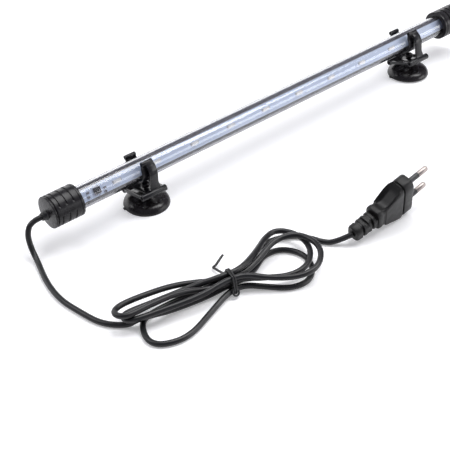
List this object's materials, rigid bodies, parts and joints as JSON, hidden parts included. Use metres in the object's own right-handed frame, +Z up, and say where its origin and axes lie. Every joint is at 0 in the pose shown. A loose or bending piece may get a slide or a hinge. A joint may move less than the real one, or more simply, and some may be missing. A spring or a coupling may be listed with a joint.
{
  "type": "submersible aquarium light",
  "caption": "Submersible clear-tube LED light for an aquarium, with ribbed black end caps, clips on suction cups, and a tied mains lead ending in a two-pin plug",
  "frame": {"origin": "On the floor under the middle of the object's box, cord and plug left out.", "axes": "+X along the tube from the cord's end to the other cap, +Y away from the side the cord lies on, +Z up from the suction cups' rims."},
  "size_m": [0.4223, 0.1522, 0.0389],
  "materials": {
    "clear_tube_plastic": "clear polished tube, 1 mm wall",
    "tray_plastic": "dark grey tray behind the board",
    "board_white": "blue-white solder mask on a circuit board",
    "led_white": "white surface-mount light packages",
    "solder": "dull solder",
    "chip_black": "moulded black chip, unmarked",
    "resistor_grey": "pale chip bodies",
    "wire_jacket": "white insulated wire",
    "cap_black": "moulded black, satin",
    "seal_rubber": "soft black",
    "gland_rubber": "soft black",
    "cord_jacket": "black round mains jacket, satin, bare of print",
    "tie_wire": "black coated wire",
    "plug_black": "moulded black, satin, bare of marks",
    "pin_metal": "nickel-plated brass",
    "sleeve_black": "black insulating sleeve",
    "clip_smoke": "black springy plastic, glossy",
    "cup_rubber": "glossy soft black"
  },
  "bodies": {
    "lamp": {"clear_tube": "clear_tube_plastic", "led_tray": "tray_plastic", "led_board": "board_white", "leds": "led_white", "led_solder_joints": "solder", "driver_chip": "chip_black", "chip_legs": "solder", "chip_resistors": "resistor_grey", "supply_wires": "wire_jacket", "left_end_cap": "cap_black", "right_end_cap": "cap_black", "left_end_plug": "cap_black", "right_end_plug": "cap_black", "left_tube_seal": "seal_rubber", "right_tube_seal": "seal_rubber", "cord_gland": "gland_rubber", "cord_lead_in": "cord_jacket", "cord_hank": "cord_jacket", "cord_lead_out": "cord_jacket", "twist_tie": "tie_wire", "plug_body": "plug_black", "plug_pins": "pin_metal", "pin_sleeves": "sleeve_black"},
    "left_holder": {"left_clip": "clip_smoke"},
    "right_holder": {"right_clip": "clip_smoke"},
    "left_cup": {"left_suction_cup": "cup_rubber"},
    "right_cup": {"right_suction_cup": "cup_rubber"}
  },
  "joints": [
    {"name": "left_clip_turn", "type": "hinge", "parent": "lamp", "child": "left_holder", "pos_m": [-0.12165, 0.0037, 0.0274], "axis": [1, 0, 0], "continuous": true},
    {"name": "right_clip_turn", "type": "hinge", "parent": "lamp", "child": "right_holder", "pos_m": [0.14035, 0.0037, 0.0274], "axis": [1, 0, 0], "continuous": true},
    {"name": "left_cup_tilt", "type": "hinge", "parent": "left_holder", "child": "left_cup", "pos_m": [-0.12045, 0.00021, 0.0124], "axis": [1, 0, 0], "range_deg": [-33.1, 6.9], "stiffness_Nm_per_rad": 0.03},
    {"name": "right_cup_tilt", "type": "hinge", "parent": "right_holder", "child": "right_cup", "pos_m": [0.14155, -0.00159, 0.01294], "axis": [1, 0, 0], "range_deg": [-38.2, 1.8], "stiffness_Nm_per_rad": 0.03}
  ]
}
